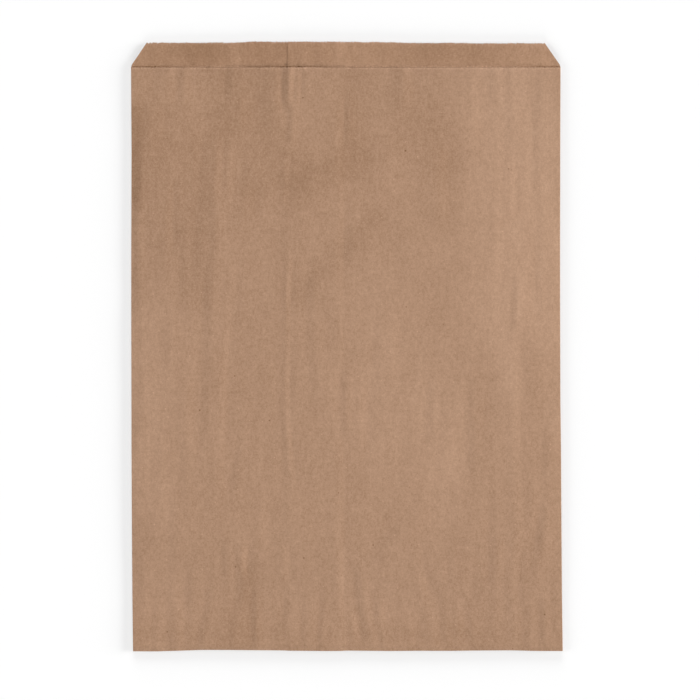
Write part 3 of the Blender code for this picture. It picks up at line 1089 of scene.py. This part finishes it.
@dataclass(frozen=True)
class KraftFinish:
    """Unbleached kraft paper: brown, with faint streaks along the machine direction and sparse flecks.

    Attributes:
        name: the material's name.
        colour: the paper's mean colour, sRGB.
        roughness: of its surface.
        fibre_bump: height of its fibres, in millimetres.
        frayed_highlight: how much paler it is in the stripe by a saw cut, as a share of its colour: paler
            frayed fibres and a painted highlight along the cut.
        flecks: its marks.
        grains: its unevenness at several scales.
        ior: of cellulose, about 1.5.
        reflection: how much of a solid face's reflection its open fibres leave; 0.5 is all of it.
        depths: how much of a change in tone the red, green and blue take; dark paper is browner.
        fibre_size: size of the fibres' bumps across and along the bag, in millimetres, coarser than real
            so that they show.
        grain_shift: how far each grain's pattern is moved from the last one's, in patches.
        torn_size: size of the patches that break up the frayed stripe and the painted slit shadow, across and
            along, in millimetres.
        torn_levels: the levels of their noise at which the stripes are nil and at their strongest.
        torn_peak: how strong the stripes are there, where 1 is usual.
        frayed_highlight_stripe: middle of the frayed stripe, with its painted highlight, and its reach to
            each side, in millimetres from the cut.
        slit_stripe: the same for the painted shadow in the slit at the front's edge, in millimetres past that
            edge.
    """

    name: str
    colour: str
    roughness: float
    fibre_bump: float
    frayed_highlight: float
    flecks: tuple[Fleck, ...] = PAPER_FLECKS
    grains: tuple[Grain, ...] = PAPER_GRAINS
    ior: float = 1.47
    reflection: float = 0.08
    depths: tuple[float, float, float] = (0.90, 1.03, 1.22)
    fibre_size: tuple[float, float] = (0.8, 1.3)
    grain_shift: tuple[float, float] = (1.7, 3.1)
    torn_size: tuple[float, float] = (1.2, 0.8)
    torn_levels: tuple[float, float] = (0.30, 0.70)
    torn_peak: float = 2.0
    frayed_highlight_stripe: tuple[float, float] = (1.0, 0.8)
    slit_stripe: tuple[float, float] = (0.0, 0.9)

    @staticmethod
    def mottle(tree: Tree, blank: Socket, size: tuple[float, float],
               shift: tuple[float, float] = (0.0, 0.0), detail: float = 1.0) -> Socket:
        """Soft random patches on the blank.

        Args:
            tree: the material's node tree.
            blank: the place on the blank, in metres.
            size: the patches' size across and along the bag, in millimetres.
            shift: how far the pattern is moved, in patches.
            detail: octaves of finer noise in them.

        Returns:
            A value from 0 to 1 that is 0.5 on average.
        """
        place = add_node(tree, "ShaderNodeMapping", {
            "Vector": blank,
            "Location": (*shift, 0.0),
            "Scale": (1.0 / (size[0] * MM), 1.0 / (size[1] * MM), 1.0),
        })
        return add_node(tree, "ShaderNodeTexNoise", {
            "noise_dimensions": "2D",
            "Vector": place.outputs["Vector"],
            "Scale": 1.0,
            "Detail": detail,
        }).outputs["Fac"]

    def tone(self, tree: Tree, blank: Socket) -> Socket:
        """Brightness of the paper at each place, about 1.

        It sums the grains, the flecks, the painted light and shade of the front and the lip, the pale stripe
        by a saw cut with its painted highlight, and the painted shadow in the slit at the front's edge. Both
        stripes are broken into patches.

        Args:
            tree: the material's node tree.
            blank: the place on the blank, in metres.

        Returns:
            The brightness.
        """
        total: Socket | float = 1.0 - sum(grain.depth for grain in self.grains)
        for number, grain in enumerate(self.grains):
            shift = (self.grain_shift[0] * number, self.grain_shift[1] * number)
            total = add_node(tree, "ShaderNodeMath", {
                "operation": "MULTIPLY_ADD",
                0: self.mottle(tree, blank, (grain.across, grain.along), shift),
                1: 2.0 * grain.depth,
                2: total,
            }).outputs[0]
        for fleck in self.flecks:
            cells = add_node(tree, "ShaderNodeTexVoronoi", {
                "voronoi_dimensions": "2D",
                "Vector": blank,
                "Scale": 1.0 / (fleck.spacing * MM),
            })
            chosen = add_node(tree, "ShaderNodeSeparateColor", {"Color": cells.outputs["Color"]})
            radius = add_node(tree, "ShaderNodeMapRange", {
                "Value": chosen.outputs["Red"],
                "From Max": fleck.share,
                "To Min": fleck.radius / fleck.spacing,
                "To Max": 0.0,
            })
            inside = add_node(tree, "ShaderNodeMapRange", {
                "interpolation_type": "SMOOTHSTEP",
                "Value": cells.outputs["Distance"],
                "From Max": radius.outputs["Result"],
                "To Min": fleck.depth,
                "To Max": 0.0,
            })
            total = add_node(tree, "ShaderNodeMath", {
                "operation": "SUBTRACT", 0: total, 1: inside.outputs["Result"],
            }).outputs[0]
        torn = add_node(tree, "ShaderNodeMapRange", {
            "Value": self.mottle(tree, blank, self.torn_size),
            "From Min": self.torn_levels[0],
            "From Max": self.torn_levels[1],
            "To Max": self.torn_peak,
        }).outputs["Result"]
        # The pale stripe by each saw cut is paler frayed fibres with a painted highlight; the slit stripe
        # carries the painted shadow
        pale, slit = (
            add_node(tree, "ShaderNodeMath", {
                "operation": "MULTIPLY", 0: self.stripe(tree, attribute, *stripe), 1: torn,
            }).outputs[0]
            for attribute, stripe in (("from_cut", self.frayed_highlight_stripe), ("past_edge", self.slit_stripe))
        )
        shade, cloud = (
            add_node(tree, "ShaderNodeAttribute", {"attribute_name": name}).outputs["Fac"]
            for name in ("edge_shade", "cloud")
        )
        total = add_node(tree, "ShaderNodeMath", {
            "operation": "MULTIPLY_ADD", 0: pale, 1: self.frayed_highlight, 2: total,
        }).outputs[0]
        # Adds the painted light and shade of the front and the lip
        total = add_node(tree, "ShaderNodeMath", {"operation": "ADD", 0: total, 1: cloud}).outputs[0]
        # Painted shadow in the slit, and painted light where its share is below 0
        dark = add_node(tree, "ShaderNodeMath", {"operation": "MULTIPLY", 0: slit, 1: shade}).outputs[0]
        return add_node(tree, "ShaderNodeMath", {"operation": "SUBTRACT", 0: total, 1: dark}).outputs[0]

    @staticmethod
    def stripe(tree: Tree, attribute: str, centre: float, reach: float) -> Socket:
        """A soft stripe where an attribute is near a value: 1 there, and smoothly 0 a reach away.

        Args:
            tree: the material's node tree.
            attribute: the attribute's name.
            centre: the value, in the attribute's own unit.
            reach: how far from it the stripe ends.

        Returns:
            The stripe's strength.
        """
        place = add_node(tree, "ShaderNodeAttribute", {"attribute_name": attribute})
        away = add_node(tree, "ShaderNodeMath", {"operation": "SUBTRACT", 0: place.outputs["Fac"], 1: centre})
        away = add_node(tree, "ShaderNodeMath", {"operation": "ABSOLUTE", 0: away.outputs[0]})
        return add_node(tree, "ShaderNodeMapRange", {
            "interpolation_type": "SMOOTHSTEP",
            "Value": away.outputs[0],
            "From Max": reach,
            "To Min": 1.0,
            "To Max": 0.0,
        }).outputs["Result"]

    def material(self) -> bpy.types.Material:
        """The finish as a material on the blank's UV map.

        Each channel is its mean, of which the share in depths is multiplied by the tone.

        Returns:
            The material.
        """
        material = bpy.data.materials.new(self.name)
        material.use_nodes = True
        tree = material.node_tree
        shader = tree.nodes["Principled BSDF"]
        blank = add_node(tree, "ShaderNodeUVMap", {"uv_map": "blank"}).outputs["UV"]
        mean = linear(self.colour)[:3]
        colour = add_node(tree, "ShaderNodeVectorMath", {
            "operation": "MULTIPLY_ADD",
            0: self.tone(tree, blank),
            1: tuple(value * share for value, share in zip(mean, self.depths)),
            2: tuple(value * (1.0 - share) for value, share in zip(mean, self.depths)),
        })
        tree.links.new(colour.outputs["Vector"], shader.inputs["Base Color"])
        shader.inputs["Roughness"].default_value = self.roughness
        shader.inputs["IOR"].default_value = self.ior
        shader.inputs["Specular IOR Level"].default_value = self.reflection
        bump = add_node(tree, "ShaderNodeBump", {
            "Height": self.mottle(tree, blank, self.fibre_size, detail=2.0),
            "Distance": self.fibre_bump * MM,
        })
        tree.links.new(bump.outputs["Normal"], shader.inputs["Normal"])
        return material


# Machine-glazed kraft: pressed wet against a polished cylinder, so its outer face has a slight sheen
GLAZED_FACE = KraftFinish(
    name="machine_glazed_kraft", colour="#AD8A70", roughness=0.80, fibre_bump=0.018, frayed_highlight=0.13,
)
# The face that was away from the cylinder stays felted and quite matt
MATT_FACE = KraftFinish(
    name="felted_kraft", colour="#A88469", roughness=0.92, fibre_bump=0.028, frayed_highlight=0.10,
)
# The saw leaves torn fibres, which are paler than the pressed faces
SAWN_EDGE = KraftFinish(
    name="sawn_kraft", colour="#B99980", roughness=0.95, fibre_bump=0.02, frayed_highlight=0.0, flecks=(),
)


@dataclass(frozen=True)
class Floor:
    """A plain pale floor: matt white sheet laminate, seen as white wherever the bag leaves it lit.

    Attributes:
        reach: from its middle to its sides.
        below: how far it lies below the bag's own lowest face.
        colour: what it gives the object, sRGB.
        seen_colour: its colour as the camera and mirrored rays see it, sRGB.
        seen_glow: the light that those rays find on top, where 1 is white.
    """

    reach: float = 6.0
    below: float = 0.00004
    colour: str = "#EDEDED"
    seen_colour: str = "#B8B8B8"
    seen_glow: float = 0.525

    def material(self) -> bpy.types.Material:
        """The floor's finish: diffuse, and a little brighter to the rays that show it.

        Returns:
            The material.
        """
        material = bpy.data.materials.new("matt_white_laminate")
        material.use_nodes = True
        tree = material.node_tree
        tree.nodes.clear()
        seen = shown_rays(tree)
        plain = add_node(tree, "ShaderNodeBsdfDiffuse", {"Color": linear(self.colour)})
        white = add_node(tree, "ShaderNodeBsdfDiffuse", {"Color": linear(self.seen_colour)})
        glow = add_node(tree, "ShaderNodeEmission", {"Strength": self.seen_glow})
        lit = add_node(tree, "ShaderNodeAddShader", {0: white.outputs[0], 1: glow.outputs[0]})
        both = add_node(tree, "ShaderNodeMixShader", {0: seen, 1: plain.outputs[0], 2: lit.outputs[0]})
        add_node(tree, "ShaderNodeOutputMaterial", {"Surface": both.outputs[0]})
        return material

    def build(self) -> bpy.types.Object:
        """The floor as one square.

        Returns:
            The floor.
        """
        corner = np.array([[-1, -1, 0], [1, -1, 0], [1, 1, 0], [-1, 1, 0]], dtype=float) * self.reach
        corner[:, 2] = -self.below
        mesh = bpy.data.meshes.new("floor")
        mesh.from_pydata(corner.tolist(), [], [(0, 1, 2, 3)])
        mesh.materials.append(self.material())
        floor = bpy.data.objects.new("floor", mesh)
        bpy.context.scene.collection.objects.link(floor)
        return floor


@dataclass(frozen=True)
class FarLamp:
    """A large soft light far off, which lights the whole floor evenly.

    Attributes:
        name: what it is.
        azimuth: where it stands, in degrees anticlockwise from +X.
        elevation: how high it stands, in degrees.
        breadth: how wide it looks from the bag, in degrees.
        share: its share of the light that the floor gets.
        distance: where it is drawn; it lights as evenly from any distance.
    """

    name: str
    azimuth: float
    elevation: float
    breadth: float
    share: float
    distance: float = 3.0

    def build(self) -> bpy.types.Object:
        """The lamp. Its strength is pi times its share over the sine of its elevation.

        Returns:
            The lamp.
        """
        light = bpy.data.lights.new(self.name, "SUN")
        rise = math.radians(self.elevation)
        turn = math.radians(self.azimuth)
        light.energy = math.pi * self.share / math.sin(rise)
        light.angle = math.radians(self.breadth)
        lamp = bpy.data.objects.new(self.name, light)
        towards = Vector((math.cos(turn) * math.cos(rise), math.sin(turn) * math.cos(rise), math.sin(rise)))
        lamp.rotation_mode = "QUATERNION"
        lamp.rotation_quaternion = towards.to_track_quat("Z", "Y")
        lamp.location = towards * self.distance
        bpy.context.scene.collection.objects.link(lamp)
        return lamp


@dataclass(frozen=True)
class Studio:
    """Plain soft light whose shares add up to 1 on the floor, so that a colour renders as it is written.

    Attributes:
        lamps: the lamps.
        ambient: the share of the light that comes evenly from all round.
    """

    lamps: tuple[FarLamp, ...] = (
        FarLamp("right_window", 3.0, 12.4, 23.0, 0.34),
        FarLamp("far_window", 92.0, 14.7, 26.0, 0.24),
        FarLamp("left_window", 180.0, 20.5, 33.0, 0.21),
        FarLamp("near_window", 270.0, 15.5, 27.0, 0.19),
    )
    ambient: float = 0.02

    def build(self) -> None:
        """Builds the lamps and the world, which is white to the rays that show it."""
        for lamp in self.lamps:
            lamp.build()
        world = bpy.data.worlds.new("studio_air")
        bpy.context.scene.world = world
        world.use_nodes = True
        tree = world.node_tree
        tree.nodes.clear()
        strength = add_node(tree, "ShaderNodeMapRange", {"Value": shown_rays(tree), "To Min": self.ambient})
        air = add_node(tree, "ShaderNodeBackground", {
            "Color": linear("#FFFFFF"), "Strength": strength.outputs["Result"],
        })
        add_node(tree, "ShaderNodeOutputWorld", {"Surface": air.outputs[0]})


@dataclass(frozen=True)
class OverheadCamera:
    """The camera, straight above the bag.

    Attributes:
        aim: the point of the bag in the middle of the frame.
        distance: from the front panel to the camera.
        frame_width: what the square frame takes in at the front panel.
        panel_height: height of the front panel above the floor.
        sensor: width of the sensor, in millimetres.
    """

    aim: tuple[float, float] = (0.0021, -0.0020)
    distance: float = 1.6
    frame_width: float = 0.407
    panel_height: float = 0.0035
    sensor: float = 36.0

    def build(self) -> bpy.types.Object:
        """The camera. Its lens is the sensor's width times the distance over the frame's width.

        Returns:
            The camera, set as the scene's own.
        """
        data = bpy.data.cameras.new("overhead_camera")
        data.sensor_width = self.sensor
        data.lens = self.sensor * self.distance / self.frame_width
        camera = bpy.data.objects.new("overhead_camera", data)
        camera.location = (self.aim[0], self.aim[1], self.panel_height + self.distance)
        bpy.context.scene.collection.objects.link(camera)
        bpy.context.scene.camera = camera
        return camera


def main() -> None:
    """Builds the bag, the floor, the light and the camera, and reports each piece."""
    logging.basicConfig(level=logging.INFO, format="%(name)s: %(message)s")
    bpy.context.scene.view_settings.view_transform = "Standard"
    bag = FoldedBag().build()
    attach(bag, "root")
    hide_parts("paper_bag")
    LOG.info("%s: %d triangles", bag.name, sum(len(face.vertices) - 2 for face in bag.data.polygons))
    floor = Floor().build()
    LOG.info("%s: stage", floor.name)
    studio = Studio()
    studio.build()
    LOG.info("light: %d lamps", len(studio.lamps))
    camera = OverheadCamera().build()
    LOG.info("%s: lens %.1f mm", camera.name, camera.data.lens)


if __name__ == "__main__":
    main()
